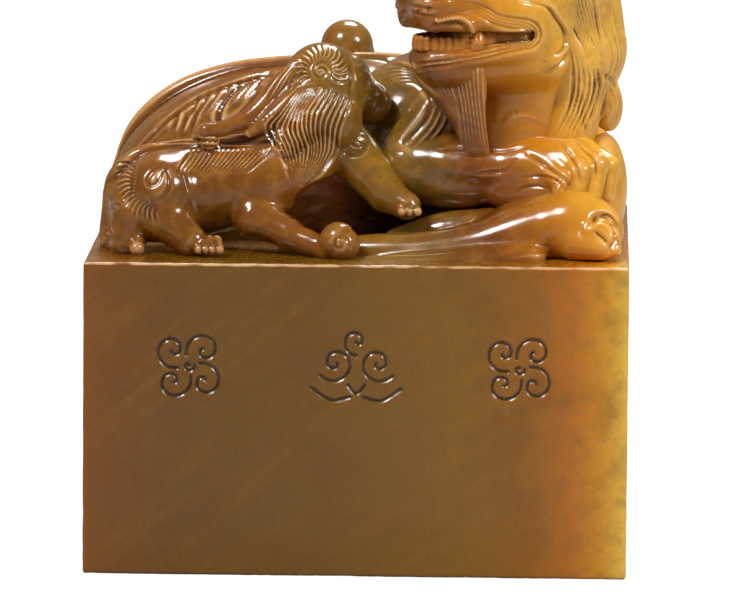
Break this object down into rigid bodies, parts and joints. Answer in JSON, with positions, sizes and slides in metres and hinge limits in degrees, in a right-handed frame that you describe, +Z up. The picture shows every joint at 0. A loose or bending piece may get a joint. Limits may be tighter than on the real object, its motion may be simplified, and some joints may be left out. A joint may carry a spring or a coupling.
{
  "type": "seal stamp",
  "caption": "Square soapstone seal stamp carved from one stone, with a lioness and climbing cubs as its grip and a plain fret on its stamping face.",
  "frame": {"origin": "middle of the stamping face, on the surface that the stone stands on", "axes": "+Z up from the stamping face to the figures, -Y out of the front of the block, +X to the side where the lioness's chest is"},
  "size_m": [0.05, 0.05, 0.0601],
  "materials": {
    "block_stone": "polished soapstone, olive brown at the middle and amber at the right edge",
    "figure_stone": "polished soapstone, amber to reddish brown, with darker cuts",
    "mouth_stone": "polished soapstone, reddish brown"
  },
  "bodies": {
    "root": {"seal_block": "block_stone", "mother_beard": "figure_stone", "mother_brows": "figure_stone", "mother_chest": "figure_stone", "mother_crown": "figure_stone", "mother_ears": "figure_stone", "mother_eyes": "mouth_stone", "mother_far_forepaw": "figure_stone", "mother_far_haunch": "figure_stone", "mother_far_hind_paw": "figure_stone", "mother_far_shoulder": "figure_stone", "mother_foreleg": "figure_stone", "mother_forepaw": "figure_stone", "mother_head": "figure_stone", "mother_hind_leg": "figure_stone", "mother_hind_paw": "figure_stone", "mother_lower_jaw": "figure_stone", "mother_mane": "figure_stone", "mother_mane_curls": "figure_stone", "mother_muzzle": "figure_stone", "mother_neck": "figure_stone", "mother_nose": "mouth_stone", "mother_rump": "figure_stone", "mother_shoulder": "figure_stone", "mother_spine": "figure_stone", "mother_tail": "figure_stone", "mother_tail_tuft": "figure_stone", "mother_teeth": "mouth_stone", "mother_torso": "figure_stone", "cub_body": "figure_stone", "cub_chest": "figure_stone", "cub_ears": "figure_stone", "cub_far_foreleg": "figure_stone", "cub_far_forepaw": "figure_stone", "cub_far_hind_leg": "figure_stone", "cub_haunch": "figure_stone", "cub_head": "figure_stone", "cub_near_foreleg": "figure_stone", "cub_near_forepaw": "figure_stone", "cub_near_hind_paw": "figure_stone", "cub_spine": "figure_stone", "cub_swept_lock": "figure_stone", "cub_tail": "figure_stone", "cub_tuft": "figure_stone", "far_cub_body": "figure_stone", "far_cub_ears": "figure_stone", "far_cub_forelegs": "figure_stone", "far_cub_head": "figure_stone", "far_cub_hind_legs": "figure_stone", "far_cub_rump": "figure_stone", "far_cub_tail": "figure_stone"}
  },
  "joints": []
}
